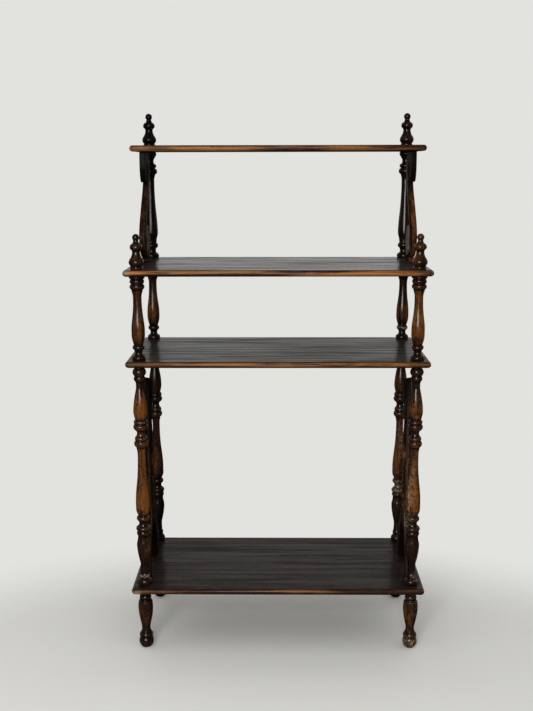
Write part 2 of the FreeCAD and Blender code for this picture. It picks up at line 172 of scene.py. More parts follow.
MEMBERS = {
    "leg": [
        ("start", 0, 20), ("bead", 24.5, 27.6, LARGE_BEAD), ("bead", 13, CREASE, 32.4),
        ("curve", 9.5, 20.4), ("line", 5, 20.4), ("full", REST, 35), ("full", 16, 32.8), ("curve", 5, 25),
        ("bead", 10, CREASE, 28.2), ("bead", 14, 28, 30),
    ],
    "lower": [
        ("start", 0, 29), ("bead", 16, 20, SWELL), ("bead", 12, 19.6, 23.4), ("curve", 14.5, NECK),
        ("line", 8, NECK), ("full", 48, 33), ("curve", 23, 27), ("bead", 12, 26.6, 31.8),
        ("bead", 12, 22.6, LARGE_BEAD), ("curve", 6.5, 19.6), ("curve", 5, 22),
        ("bead", 13.5, 22.4, SMALL_BEAD), ("full", 16, SWELL), ("line", 14.5, SWELL), ("curve", REST, NECK),
        ("curve", 17, 22.4), ("bead", 16, 26, 32.8), ("bead", 11, 21, 29), ("curve", 7, NECK),
        ("curve", 5.5, 22), ("bead", 16, 28, LARGE_BEAD), ("bead", 9.5, 25.4, SWELL), ("full", 20, SWELL),
        ("full", 55, SLIM_NECK), ("line", 8.5, SLIM_NECK), ("curve", 6, 19), ("bead", 13, 22, 26.2),
        ("bead", 19, 21.6, 30.8), ("line", 5.5, 22.6),
    ],
    "middle": [
        ("start", 0, 29), ("bead", 10.5, 20, 31.8), ("curve", 5.5, SLIM_NECK), ("curve", 5.5, 19.6),
        ("bead", 12, 21.4, 27.6), ("full", 22, 30.4), ("line", 10, 30.4), ("curve", REST, 19.4),
        ("curve", 18.5, 26), ("bead", 12, 27, 33.8), ("bead", 11.5, 28, 32.8), ("bead", 8, 31, RING),
    ],
    "upper": [
        ("start", 0, 32), ("bead", 12.5, 22.2, RING), ("curve", 6, 20.4), ("curve", 5, 22.6),
        ("bead", 13, 24.8, 32), ("curve", 25.5, SWELL), ("curve", REST, 20.4), ("curve", 14, 25),
        ("bead", 15.5, 24.6, RING), ("bead", 11, 21, 32), ("curve", 7, 19.6), ("curve", 10, 28),
        ("bead", 10.5, 31, 34),
    ],
    "finial": [
        ("start", 0, 26.4), ("bead", 6, 26, 29), ("full", 9, LARGE_BEAD), ("curve", 24, 18),
        ("curve", 3, 20.4), ("bead", 15, 15.4, 28.6), ("curve", REST, 11.8), ("curve", 1.6, 12.4),
        ("knob", 13.2, 2.4, 16.4),
    ],
}
print("members:", {name: len(rows) - 1 for name, rows in MEMBERS.items()})

# %% [markdown]
# ## From members to a profile
#
# A bead is two arcs that meet where the bead is widest, and the wide point lies nearer to the
# wider rim. A hollow or a swell is a Bezier curve that is upright at both ends, as a gouge leaves
# it: a plain curve leaves the neck slowly, and a full one swells out at once. Each form is sampled
# about every millimetre, so the reflections run over it without facets.

# %% Profiles
STEP = 1.3


def steps_for(length):
    return max(5, int(round(length / STEP)))


def bead_half(rim, widest):
    """An arc from a rim to the widest point, upright there. Radius = squared chord over twice the step."""
    (rim_r, rim_z), (wide_r, wide_z) = rim, widest
    step, rise = wide_r - rim_r, wide_z - rim_z
    radius = (step ** 2 + rise ** 2) / (2 * step)
    reach = math.atan2(abs(rise), radius - step)
    angle = np.linspace(reach, 0, steps_for(radius * reach))
    return np.stack([wide_r - radius * (1 - np.cos(angle)),
                     wide_z - math.copysign(radius, rise) * np.sin(angle)], axis=1)


def bead_line(start, end, bulge):
    """Both halves of a bead. The wide point divides the rise as the square roots of the two steps."""
    weights = [math.sqrt(bulge - start[0]), math.sqrt(bulge - end[0])]
    widest = (bulge, start[1] + (end[1] - start[1]) * weights[0] / sum(weights))
    return np.concatenate([bead_half(start, widest), bead_half(end, widest)[::-1][1:]])


def swell_line(start, end, holds):
    """A cubic Bezier whose inner poles stand above and below its ends. The first hold is the thin end's."""
    holds = holds if start[0] < end[0] else holds[::-1]
    rise = end[1] - start[1]
    poles = np.array([start, (start[0], start[1] + holds[0] * rise), (end[0], end[1] - holds[1] * rise), end])
    t = np.linspace(0, 1, steps_for(math.dist(start, end) * 1.1))[:, None]
    weights = [(1 - t) ** 3, 3 * t * (1 - t) ** 2, 3 * t ** 2 * (1 - t), t ** 3]
    return sum(weight * pole for weight, pole in zip(weights, poles))


def knob_line(start, end, ball):
    """A ball about the axis, from its seat to the small flat on its crown."""
    middle = end[1] - math.sqrt(ball ** 2 - end[0] ** 2)
    angle = np.linspace(math.asin((start[1] - middle) / ball), math.acos(end[0] / ball), 14)
    return np.stack([ball * np.cos(angle), middle + ball * np.sin(angle)], axis=1)


def profile(kind):
    """The radius and height of every ring of one turned piece, from its shoulder to its top."""
    members, height = MEMBERS[kind], HEIGHTS[kind]
    rest = height - sum(rise for _, rise, *_ in members if rise is not REST)
    here = (members[0][2] / 2, 0.0)
    lines = [np.array([here])]
    for form, rise, diameter, *bulge in members[1:]:
        there = (diameter / 2, here[1] + (rest if rise is REST else rise))
        if form == "bead":
            line = bead_line(here, there, bulge[0] / 2)
        elif form in HOLDS:
            line = swell_line(here, there, HOLDS[form])
        elif form == "knob":
            line = knob_line(here, there, bulge[0] / 2)
        else:
            line = np.linspace(here, there, steps_for(rise))
        lines.append(line[1:])
        here = there
    return np.concatenate(lines)


profiles = {kind: profile(kind) for kind in MEMBERS}
print("rings:", {kind: len(line) for kind, line in profiles.items()})

# %% [markdown]
# ## Where a turned piece is rubbed and where it stays dark
#
# Hands and dusters rub what stands out, and the inward corners are painted dark, as shade falls there.
# Both can be read off the profile. How sharply the line turns outwards is the crest mark, and how
# close a point is to an inward corner is the crease mark. The smooth swells get a mark too,
# because the polish shows the colour of the wood best there.

# %% Marks along a profile
CREST_WIDTH, CREASE_WIDTH, SWELL_WIDTH = 1.3, 2.2, 3.0
SHARP_CORNER, SOFT_CORNER, NEARLY_STRAIGHT = 0.5, 0.03, 0.06


def bell(values, middle, width):
    """One at the middle, falling off to both sides like a bell curve."""
    return np.exp(-0.5 * ((values - middle) / width) ** 2)


def spread(values, along, width):
    """Each value is replaced by the mean of its neighbours, weighted by a bell curve of that width in mm."""
    weight = bell(along[:, None], along[None, :], width)
    return (weight @ values) / weight.sum(axis=1)


def profile_marks(line):
    """Crest, crease and swell along a profile, from how many radians it turns per millimetre."""
    step = np.diff(line, axis=0)
    length = np.hypot(step[:, 0], step[:, 1])
    along = np.concatenate([[0], np.cumsum(length)])
    direction = np.unwrap(np.arctan2(step[:, 1], step[:, 0]))
    turn = np.concatenate([[0], np.diff(direction), [0]]) / np.gradient(along)
    outward = spread(np.clip(turn, 0, 1), along, CREST_WIDTH)
    corner = np.clip(-turn / SHARP_CORNER, 0, 1)
    crease = (bell(along[:, None], along[None, :], CREASE_WIDTH) * corner[None, :]).max(axis=1)
    crest = np.clip((outward - SOFT_CORNER) / 0.12, 0, 1) * (1 - crease)
    wide = np.clip((line[:, 0] - 9.5) / 5.0, 0, 1)
    swell = spread(wide * np.clip(1 - np.abs(turn) / NEARLY_STRAIGHT, 0, 1), along, SWELL_WIDTH)
    return {"crest": crest, "crease": crease, "swell": swell}


marks_of = {kind: profile_marks(line) for kind, line in profiles.items()}
most_worn = profiles["lower"][np.argmax(marks_of["lower"]["crest"]), 1]
print("most worn height of a lower spindle: %.0f mm" % most_worn)

# %% [markdown]
# ## Turning the profiles
#
# The surface of a turned piece is a function of two parameters, the angle round the axis and the
# place along the profile. A piece of wood this old is never quite round: it has shrunk across
# the grain, and the gouge left long shallow waves. A few cosines in both parameters, a tenth of a
# millimetre high, are enough to make the highlights wander as they do on real turning.

# %% Turned pieces
ROUND = 84
ANY_PHASE = 6.28
OVAL, GOUGE_WAVE, GOUGE_WAVES = 0.10, 0.035, 7
WAVE_INSET, FULL_WAVE_RADIUS, THINNEST = 0.12, 12, 0.2
angles = np.linspace(0, 2 * math.pi, ROUND, endpoint=False)


def turned_rings(line, centre, base, dice):
    """X = radius times cosine, Y = radius times sine, Z = height. The radius waves with angle and height."""
    radius, height = line[:, 0][:, None], line[:, 1][:, None]
    angle = angles[None, :]
    waves = OVAL * np.cos(2 * angle + dice.uniform(0, ANY_PHASE))
    for _ in range(GOUGE_WAVES):
        lobes, drift = dice.integers(1, 6), dice.uniform(4, 30)
        waves = waves + GOUGE_WAVE * np.cos(lobes * angle + height / drift + dice.uniform(0, ANY_PHASE))
    radius = np.maximum(radius + (waves - WAVE_INSET) * np.clip(radius / FULL_WAVE_RADIUS, 0, 1), THINNEST)
    return np.stack([centre[0] + radius * np.cos(angle), centre[1] + radius * np.sin(angle),
                     np.broadcast_to(base + height, (len(line), ROUND))], axis=-1)


BOTH = [("leg", 0.0), ("lower_spindle", bottom_top), ("middle_spindle", third_top)]
STACKS = {"front": BOTH + [("finial", second_top)],
          "rear": BOTH + [("upper_spindle", second_top), ("finial", top_top)]}
pieces = {}
dice = np.random.default_rng(1880)
for row, stack in STACKS.items():
    for side, sign in SIDES.items():
        for part, base in stack:
            kind = part.split("_")[0]
            node = row + "_" + side + "_" + part
            rings = turned_rings(profiles[kind], (sign * POST_X, ROW_Y[row]), base, dice)
            marks = {mark: values[:, None] for mark, values in marks_of[kind].items()}
            pieces[node] = piece_from_rings(node + "_dressed", rings, marks)
            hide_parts(node)
print("turned pieces:", len(pieces))

# %% [markdown]
# ## Boards
#
# Each board is a plank with rounded corners and a nosing, the half-round edge that a moulding
# plane runs along it. The surface is again a grid: one parameter runs round the outline and the
# other round the nosing, from the underside to the top. The nosing of an old board is bruised and
# rubbed, so its rings are pushed in a little by waves that run round the outline. The lower half of
# a nosing faces down, so it keeps only its own share of the rub for each board, and the rest is
# painted shade.

# %% Boards
BOARD_WIDTH, BOARD_DEPTH, TOP_BOARD_DEPTH = 686.0, 332.0, 175.0
CORNER, NOSING = 10.0, 6.8
BRUISES, BRUISE_DEPTH, BRUISE_INSET = 26, 0.035, 0.1


def board_outline(width, depth, corner, step=3.0):
    """The points and outward directions of a rectangle with round corners, as quarter circles and runs."""
    points, outward = [], []
    quarter = np.linspace(0, math.pi / 2, 7)
    for index, (sx, sy) in enumerate([(1, -1), (1, 1), (-1, 1), (-1, -1)]):
        centre = np.array([sx * (width / 2 - corner), sy * (depth / 2 - corner)])
        angle = quarter + (index - 1) * math.pi / 2
        direction = np.stack([np.cos(angle), np.sin(angle)], axis=1)
        points.append(centre + corner * direction)
        outward.append(direction)
        run = depth - 2 * corner if index % 2 == 0 else width - 2 * corner
        between = np.linspace(0, run, int(run / step), endpoint=False)[1:, None]
        ahead = np.array([-direction[-1][1], direction[-1][0]])
        points.append(points[-1][-1] + between * ahead)
        outward.append(np.repeat(direction[-1:], len(between), axis=0))
    return np.concatenate(points), np.concatenate(outward)


def board_rings(width, depth, middle_y, top, lit_share_below, dice):
    """Point = outline point drawn in by 1 - cosine of the nosing angle and by a bruise. Height = its sine."""
    outline, outward = board_outline(width, depth, CORNER)
    angle = np.radians(np.concatenate([[-90], np.linspace(-90, 90, 17), [90]]))
    inset = NOSING * (1 - np.cos(angle))
    inset[[0, -1]] = NOSING + 2.0
    rise = (BOARD_THICKNESS / 2) * np.sin(angle)
    round_ = np.linspace(0, 2 * math.pi, len(outline), endpoint=False)
    bruise = np.zeros((len(angle), len(outline)))
    for _ in range(BRUISES):
        wave = np.cos(dice.integers(3, 190) * round_ + dice.uniform(0, ANY_PHASE))
        depth_of_it = dice.uniform(0.2, 1) * BRUISE_DEPTH
        band = np.exp(-((angle - dice.uniform(-1.2, 1.2)) / 0.7) ** 2)
        bruise += depth_of_it * band[:, None] * wave
    bruise = np.maximum(bruise, -0.05) * np.cos(angle)[:, None]
    drawn_in = inset[:, None] + BRUISE_INSET + bruise
    flat = outline[None] - outward[None] * drawn_in[..., None]
    flat[..., 1] += middle_y
    height = np.broadcast_to(top - BOARD_THICKNESS / 2 + rise[:, None], drawn_in.shape)
    edge = np.broadcast_to(np.cos(angle)[:, None], drawn_in.shape)
    # Painted shade: the rub fades on the lower half of the nosing, which faces down.
    lit_share = np.clip(1.0 + 1.4 * np.sin(angle), lit_share_below, 1)[:, None]
    crest = np.clip(edge * 1.2, 0, 1) ** 2 * lit_share
    return np.concatenate([flat, height[..., None]], axis=-1), {"edge": edge, "crest": crest}


BOARDS = {"bottom_shelf": (BOARD_DEPTH, bottom_top, 0.15), "third_shelf": (BOARD_DEPTH, third_top, 0.2),
          "second_shelf": (BOARD_DEPTH, second_top, 0.6), "top_shelf": (TOP_BOARD_DEPTH, top_top, 0.8)}
for node, (depth, top, lit_share_below) in BOARDS.items():
    rings, marks = board_rings(BOARD_WIDTH, depth, (BOARD_DEPTH - depth) / 2, top, lit_share_below, dice)
    pieces[node] = piece_from_rings(node + "_dressed", rings, marks)
    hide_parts(node)
print("board tops:", {node: round(top) for node, (_, top, _) in BOARDS.items()})

# %% [markdown]
# ## Sawn frets and brackets
#
# The lyres and the S-scrolls were cut from flat plates with a fretsaw, following a paper pattern
# glued to the wood. The pattern is kept here as a few points in shares of the plate's size. The two
# arms of a lyre share the shape of their foot and differ above it, and their heads climb towards
# the front. Some runs have a share of painted highlight on their inner arris, which the finish
# reads later.

# %% Patterns
FRET_THICKNESS, FRET_WIDTH, FRET_HEIGHT = 18.5, 188.0, 462.0
FRET_FRONT = ROW_Y["front"] + LARGE_BEAD / 2 + 0.4
LYRE_FOOT = [
    (0.9, 0), (0.975, 0.03), (0.965, 0.075), (0.89, 0.13), (0.76, 0.185), (0.52, 0.235), (0.36, 0.275),
]
LYRE_SIDES = {
    "rear": LYRE_FOOT + [
        (0.29, 0.32), (0.27, 0.37), (0.28, 0.415), (0.3, 0.46), (0.32, 0.5), (0.31, 0.535), (0.27, 0.557),
        (0.28, 0.577), (0.34, 0.6), (0.39, 0.637), (0.34, 0.69), (0.23, 0.74), (0.18, 0.79), (0.2, 0.835),
        (0.3, 0.87), (0.42, 0.893), (0.5, 0.92), (0.53, 0.955), (0.51, 0.985), (0.47, 1),
    ],
    "front": LYRE_FOOT + [
        (0.33, 0.32), (0.42, 0.37), (0.56, 0.415), (0.68, 0.46), (0.73, 0.5), (0.69, 0.535), (0.55, 0.557),
        (0.545, 0.577), (0.68, 0.6), (0.73, 0.637), (0.65, 0.69), (0.54, 0.74), (0.475, 0.79),
        (0.485, 0.825), (0.47, 0.865), (0.54, 0.893), (0.7, 0.908), (0.88, 0.915), (0.975, 0.935),
        (0.985, 0.965), (0.93, 0.99), (0.84, 1),
    ],
}
LYRE_THROATS = {
    "rear": [
        (0.13, 1), (0.1, 0.97), (0.12, 0.93), (0.11, 0.885), (0.05, 0.84), (0.03, 0.79), (0.04, 0.75),
        (0.08, 0.72), (0.14, 0.68), (0.18, 0.63), (0.17, 0.595), (0.12, 0.578), (0.1, 0.562), (0.12, 0.545),
        (0.16, 0.525), (0.16, 0.48), (0.13, 0.435), (0.09, 0.39), (0.05, 0.35), (0, 0.325),
    ],
    "front": [
        (0.13, 1), (0.1, 0.97), (0.13, 0.93), (0.17, 0.885), (0.16, 0.84), (0.12, 0.78), (0.19, 0.73),
        (0.29, 0.68), (0.36, 0.63), (0.36, 0.595), (0.26, 0.578), (0.22, 0.562), (0.26, 0.545),
        (0.34, 0.525), (0.35, 0.48), (0.3, 0.435), (0.22, 0.39), (0.12, 0.35), (0, 0.325),
    ],
}
LYRE_CLIMB = 0.245
LYRE_FOOT_ARCH = [
    (0, 0.225), (0.16, 0.222), (0.3, 0.205), (0.43, 0.16), (0.53, 0.1), (0.59, 0.05), (0.61, 0),
]

BRACKET_THICKNESS, BRACKET_DEPTH = 12.5, 126.0
BRACKET_FRONT = ROW_Y["rear"] - RING / 2 - 36.0 - BRACKET_DEPTH
SCROLL_BELLY = [
    (0.35, 0.05), (0.238, 0.062), (0.103, 0.109), (0.016, 0.174), (0.004, 0.24), (0.07, 0.333),
    (0.206, 0.422), (0.397, 0.531), (0.571, 0.62), (0.69, 0.7), (0.72, 0.76), (0.706, 0.83), (0.667, 0.885),
    (0.625, 0.905), (0.587, 0.885), (0.59, 0.82), (0.575, 0.765), (0.508, 0.728), (0.413, 0.738),
    (0.341, 0.785), (0.31, 0.86), (0.317, 0.95),
]
SCROLL_BACK = [
    (0.968, 0.95), (1, 0.87), (0.975, 0.76), (0.889, 0.655), (0.714, 0.543), (0.556, 0.442), (0.4, 0.352),
    (0.29, 0.29), (0.25, 0.235), (0.28, 0.175), (0.36, 0.128), (0.452, 0.116), (0.53, 0.147), (0.51, 0.202),
    (0.445, 0.248), (0.46, 0.305), (0.571, 0.335), (0.73, 0.302), (0.833, 0.233), (0.85, 0.15),
    (0.79, 0.082), (0.667, 0.05),
]
SCROLL_HEAD = [(0.317, 1), (0.968, 1)]
SCROLL_FOOT = [(0.667, 0), (0.35, 0)]
ARM_HIGHLIGHT, SCROLL_BACK_HIGHLIGHT = 0.15, 0.8
print("lyre front edge at Y %.1f, scroll front edge at Y %.1f" % (FRET_FRONT, BRACKET_FRONT))

# %% [markdown]
# ## A batten through points
#
# A cubic spline is the shape that a thin batten takes when it is pinned at a few points. Its
# bend at the pins comes from one set of equations, one for each pin, solved all together.

# %% Smooth runs and straight runs
def batten(points, step=2.2):
    """A natural cubic spline over the length of the chords, sampled evenly."""
    points = np.array(points, dtype=float)
    gap = np.hypot(*np.diff(points, axis=0).T)
    at = np.concatenate([[0], np.cumsum(gap)])
    count = len(points)
    rows = np.eye(count)
    pull = np.zeros((count, 2))
    inner = np.arange(1, count - 1)
    rows[inner, inner - 1] = gap[:-1]
    rows[inner, inner] = 2 * (gap[:-1] + gap[1:])
    rows[inner, inner + 1] = gap[1:]
    slope = np.diff(points, axis=0) / gap[:, None]
    pull[1:-1] = 6 * np.diff(slope, axis=0)
    bend = np.linalg.solve(rows, pull)
    where = np.linspace(0, at[-1], max(4, int(at[-1] / step)))
    span = np.clip(np.searchsorted(at, where, side="right") - 1, 0, count - 2)
    width = gap[span][:, None]
    far = (where - at[span])[:, None] / width
    near = 1 - far
    curve = near * points[span] + far * points[span + 1]
    sag = ((near ** 3 - near) * bend[span] + (far ** 3 - far) * bend[span + 1]) * width ** 2 / 6
    return curve + sag


def straight(start, end, step=3.0):
    count = max(2, int(math.dist(start, end) / step))
    return np.linspace(start, end, count)


def closed_outline(runs, highlight_share):
    """The runs end to end, without the points that they share, and how much painted highlight each point
    gets.
    """
    outline = np.concatenate([run[:-1] for run in runs])
    return outline, np.repeat(highlight_share, [len(run) - 1 for run in runs])


def lyre_half(arm):
    """Y = centre plus or minus a share of the half width, Z = a share of the height and a climb forwards."""
    hand = {"rear": 1, "front": -1}[arm]
    half = FRET_WIDTH / 2
    reach = LYRE_SIDES["rear"][-3][0]

    def place(shares):
        return [(FRET_FRONT + (1 + hand * u) * half,
                 bottom_top + v * FRET_HEIGHT + LYRE_CLIMB * v ** 4 * (reach - hand * u) * half)
                for u, v in shares]
    arch, side, throat = place(LYRE_FOOT_ARCH), place(LYRE_SIDES[arm]), place(LYRE_THROATS[arm])
    return [batten(arch), straight(arch[-1], side[0]), batten(side),
            straight(side[-1], throat[0]), batten(throat)]


def lyre_outline():
    """The rear half up from its foot and down the throat, then the front half backwards."""
    front = [run[::-1] for run in lyre_half("front")[::-1]]
    return closed_outline(lyre_half("rear") + front,
                          [0, 0, ARM_HIGHLIGHT, 0, 0, 0, 0, ARM_HIGHLIGHT, 0, 0])


def scroll_outline():
    """The belly up, across the head, the back down, which gets a painted highlight, and across the foot."""
    def place(shares):
        return [(BRACKET_FRONT + u * BRACKET_DEPTH, second_top + v * HEIGHTS["upper"]) for u, v in shares]
    belly, back, head, foot = map(place, (SCROLL_BELLY, SCROLL_BACK, SCROLL_HEAD, SCROLL_FOOT))
    return closed_outline([
        batten(belly), straight(belly[-1], head[0]), straight(*head), straight(head[1], back[0]),
        batten(back), straight(back[-1], foot[0]), straight(*foot), straight(foot[1], belly[0]),
    ], [0, 0, 0, 0, SCROLL_BACK_HIGHLIGHT, 0, 0, 0])

# %% [markdown]
# ## Plates
#
# The outline is carried through the thickness of the wood in a few rings. The first and the last
# rings are drawn in along a quarter circle, because sandpaper has eased both arrises.

# %% Plates
def plate_rings(outline, highlight_share, thickness, x, ease=0.9):
    """Point = outline point drawn in by the ease of its arris, at its depth in the plate."""
    ahead = np.roll(outline, -1, axis=0) - np.roll(outline, 1, axis=0)
    ahead /= np.hypot(*ahead.T)[:, None]
    outward = np.stack([ahead[:, 1], -ahead[:, 0]], axis=1)
    area = np.sum(outline[:, 0] * np.roll(outline[:, 1], -1) - outline[:, 1] * np.roll(outline[:, 0], -1))
    outward *= math.copysign(1, area)
    arris = np.radians(np.linspace(0, 90, 5))
    drawn_in = ease * (1 - np.sin(arris))
    depth = ease * (1 - np.cos(arris)) - thickness / 2
    across = np.linspace(depth[-1], -depth[-1], 6)[1:-1]
    drawn_in = np.concatenate([drawn_in, 0 * across, drawn_in[::-1]])
    depth = np.concatenate([depth, across, -depth[::-1]])
    flat = outline[None] - outward[None] * drawn_in[:, None, None]
    sideways = np.broadcast_to((x + depth)[:, None, None], flat.shape[:2] + (1,))
    inset = (thickness / 2 - np.abs(depth))[:, None]
    crest = np.exp(-(inset / 1.6) ** 2)
    edge = np.clip(inset / 1.2, 0, 1)
    # The arris on the inner side of the listed runs gets a painted highlight, kept in the same mark as bare
    # wood.
    inner_side = (depth * x < 0)[:, None]
    return (np.concatenate([sideways, flat], axis=-1),
            {"edge": edge, "crest": crest, "bare_wood_and_highlight": crest * inner_side * highlight_share})


PLATES = {"lyre_fret": (lyre_outline(), FRET_THICKNESS),
          "scroll_bracket": (scroll_outline(), BRACKET_THICKNESS)}
for part, ((outline, highlight_share), thickness) in PLATES.items():
    for side, sign in SIDES.items():
        node = side + "_" + part
        rings, marks = plate_rings(outline, highlight_share, thickness, sign * POST_X)
        pieces[node] = piece_from_rings(node + "_dressed", rings, marks)
        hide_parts(node)
print("pieces in all:", len(pieces))

for piece in pieces.values():
    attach(piece, "root")

# %% [markdown]
# ## Nodes
#
# Materials and worlds are trees of nodes. These helpers add a node, feed its sockets and do sums.

# %% Node helpers
def feed(tree, socket, value):
    """A socket takes either a plain value or the output of another node."""
    if isinstance(value, bpy.types.NodeSocket):
        tree.links.new(value, socket)
    else:
        socket.default_value = value


def put(tree, kind, sockets=None, **settings):
    """Adds a shader node, sets its settings and feeds its sockets."""
    node = tree.nodes.new("ShaderNode" + kind)
    for name, value in settings.items():
        setattr(node, name, value)
    for name, value in (sockets or {}).items():
        feed(tree, node.inputs[name], value)
    return node


def maths(tree, operation, first, second, third=0.0):
    return put(tree, "Math", {0: first, 1: second, 2: third}, operation=operation).outputs[0]


def times(tree, first, second, plus=0.0):
    return maths(tree, "MULTIPLY_ADD", first, second, plus)


def swayed(tree, base, by, amount):
    """The base plus the amount times how far the third value is above one half."""
    return times(tree, maths(tree, "SUBTRACT", by, 0.5), amount, base)


def ranged(tree, value, low, high, to_low=0.0, to_high=1.0):
    """Low becomes to_low and high becomes to_high, held there outside, with a soft passage between."""
    sockets = {"Value": value, "From Min": low, "From Max": high, "To Min": to_low, "To Max": to_high}
    return put(tree, "MapRange", sockets, interpolation_type="SMOOTHSTEP").outputs["Result"]


def noise(tree, vector, scale, detail=2.0, roughness=0.5, distortion=0.0):
    sockets = {"Vector": vector, "Scale": scale, "Detail": detail,
               "Roughness": roughness, "Distortion": distortion}
    return put(tree, "TexNoise", sockets).outputs["Fac"]


def blended(tree, share, under, over):
    """The colour under, with that share of the colour over laid on it."""
    return put(tree, "Mix", {0: share, 6: under, 7: over}, data_type="RGBA").outputs[2]


def layered(tree, colour, layers):
    """Each layer is a share and a colour, laid on the ones before it."""
    for share, over in layers:
        colour = blended(tree, share, colour, over)
    return colour

# %% [markdown]
# ## Floor, walls of light and a lamp
#
# The stand is shown on a plain floor that melts into an equally pale distance. The floor is a
# wide disc whose surface turns transparent a little way out from the stand. The world stands in
# for the room, and each kind of ray sees something else in it. The camera sees one pale tone. The
# varnish sees a wall that glows behind the stand, brightest low down, and dimness elsewhere, and
# the floor is dark for it too. So the boards shine, because they mirror that wall, and the flanks
# of the turning stay dark. Dull surfaces get most of their light from overhead, as under a white
# ceiling. One broad lamp in front, a little above the stand, does the work of a window.

# %% The room
PALE_WALL = (0.76, 0.765, 0.735, 1)
world = bpy.data.worlds.new("pale room")
scene.world = world
world.use_nodes = True
room = world.node_tree
room.nodes.clear()
sight = put(room, "LightPath")
towards = put(room, "SeparateXYZ", {0: put(room, "TexCoord").outputs["Generated"]})
behind = ranged(room, towards.outputs["Y"], -0.1, 0.75)
wall_glow = ranged(room, towards.outputs["Z"], 0.09, 0.19, 0.95, 0.46)
above_floor = ranged(room, towards.outputs["Z"], -0.04, 0.05)
glow = times(room, times(room, wall_glow, above_floor), behind)
seen_in_varnish = blended(room, glow, (0.03, 0.03, 0.03, 1), (1.0, 1.0, 0.98, 1))
ceiling = ranged(room, towards.outputs["Z"], 0.25, 0.8)
daylight = blended(room, ceiling, (0.075, 0.075, 0.073, 1), (1.02, 1.02, 1.0, 1))
filling = blended(room, sight.outputs["Is Glossy Ray"], daylight, seen_in_varnish)
tone = blended(room, sight.outputs["Is Camera Ray"], filling, PALE_WALL)
background = put(room, "Background", {"Color": tone, "Strength": 1.0})
put(room, "OutputWorld", {"Surface": background.outputs[0]})

# %% The floor disc
def disc(name, radius, rings=24, around=96):
    """Point = (ring radius times cosine, times sine, 0)."""
    ring = np.linspace(0.02, 1, rings)[::-1, None] * radius
    angle = np.linspace(0, 2 * math.pi, around, endpoint=False)[None, :]
    points = np.stack([ring * np.cos(angle), ring * np.sin(angle), 0 * ring * angle], axis=-1)
    faces = ring_faces(rings, around)
    mesh = bpy.data.meshes.new(name)
    hub = np.arange(around) + (rings - 1) * around
    mesh.from_pydata(points.reshape(-1, 3).tolist(), [], faces.tolist() + [hub.tolist()])
    return in_scene(name, mesh)


FLOOR_RADIUS, FLOOR_MIDDLE, SOLID_TO, CLEAR_FROM = 3.4, (0, -0.9, 0), 1.05, 1.5
floor = disc("floor", FLOOR_RADIUS)
floor_paint = bpy.data.materials.new("pale floor")
floor_paint.use_nodes = True
paint = floor_paint.node_tree
paint.nodes.clear()
spot = put(paint, "TexCoord").outputs["Object"]
distance = put(paint, "VectorMath", {0: spot, 1: FLOOR_MIDDLE}, operation="DISTANCE").outputs["Value"]
fading = ranged(paint, distance, SOLID_TO, CLEAR_FROM)
mirrored = put(paint, "LightPath").outputs["Is Glossy Ray"]
floor_tone = blended(paint, mirrored, (0.62, 0.615, 0.59, 1), (0.06, 0.055, 0.05, 1))
solid_floor = put(paint, "BsdfPrincipled", {
    "Base Color": floor_tone, "Roughness": 0.9, "Specular IOR Level": 0.15})
clear = put(paint, "BsdfTransparent")
mixed = put(paint, "MixShader", {0: fading, 1: solid_floor.outputs[0], 2: clear.outputs[0]})
put(paint, "OutputMaterial", {"Surface": mixed.outputs[0]})
floor.data.materials.append(floor_paint)

# %% The lamp
LAMP_PLACE, LAMP_TARGET, LAMP_WATTS = Vector((-0.5, -3.1, 1.45)), Vector((0, 0, 0.65)), 92.0
lamp_data = bpy.data.lights.new("window light", "AREA")
lamp_data.shape = "RECTANGLE"
lamp_data.size, lamp_data.size_y = 1.5, 1.3
lamp_data.energy = LAMP_WATTS
lamp = in_scene("window light", lamp_data)
lamp.location = LAMP_PLACE
aim = LAMP_TARGET - LAMP_PLACE
lamp.rotation_euler = aim.to_track_quat("-Z", "Y").to_euler()
scene.view_settings.view_transform = "Standard"
print("lamp is %.2f m from the middle of the stand" % aim.length)

# %% [markdown]
# ## Wood, in a group that every finish shares
#
# Stained hardwood shows three things: broad bands where the stain took more or less, narrower
# streaks inside them, and short dark flecks, which are pores full of stain. All three are noise
# that has been stretched along the grain. The stretch belongs to the piece, because grain runs
# along a board and up a post, so the group takes coordinates that are already stretched. It gives
# back the bands, the streaks, the flecks and a height for the bump.

# %% Group: wood grain
def new_group(name, inputs, outputs):
    """An input is a number with the given default, or a vector where that is None."""
    group = bpy.data.node_groups.new(name, "ShaderNodeTree")
    for socket, default in inputs.items():
        kind = "NodeSocketVector" if default is None else "NodeSocketFloat"
        made = group.interface.new_socket(name=socket, in_out="INPUT", socket_type=kind)
        if default is not None:
            made.default_value = default
    for socket in outputs:
        group.interface.new_socket(name=socket, in_out="OUTPUT", socket_type="NodeSocketFloat")
    return group, group.nodes.new("NodeGroupInput").outputs, group.nodes.new("NodeGroupOutput").inputs


wood_grain, given, gives = new_group("wood grain", {
    "Stretched": None, "Bands per metre": 30.0}, ["Bands", "Streaks", "Flecks", "Height"])
bands = noise(wood_grain, given["Stretched"], given["Bands per metre"], 4.0, 0.55, 0.5)
fine = times(wood_grain, given["Bands per metre"], 8.0)
pores = noise(wood_grain, given["Stretched"], fine, 3.0, 0.6, 0.2)
flecks = ranged(wood_grain, pores, 0.54, 0.70)
feed(wood_grain, gives["Bands"], ranged(wood_grain, bands, 0.32, 0.68))
feed(wood_grain, gives["Flecks"], flecks)
middling = times(wood_grain, given["Bands per metre"], 3.2)
narrow = noise(wood_grain, given["Stretched"], middling, 4.0, 0.7, 0.3)
feed(wood_grain, gives["Streaks"], ranged(wood_grain, narrow, 0.34, 0.66))
depth = times(wood_grain, flecks, -0.8, 1.0)
feed(wood_grain, gives["Height"], times(wood_grain, bands, 0.5, depth))

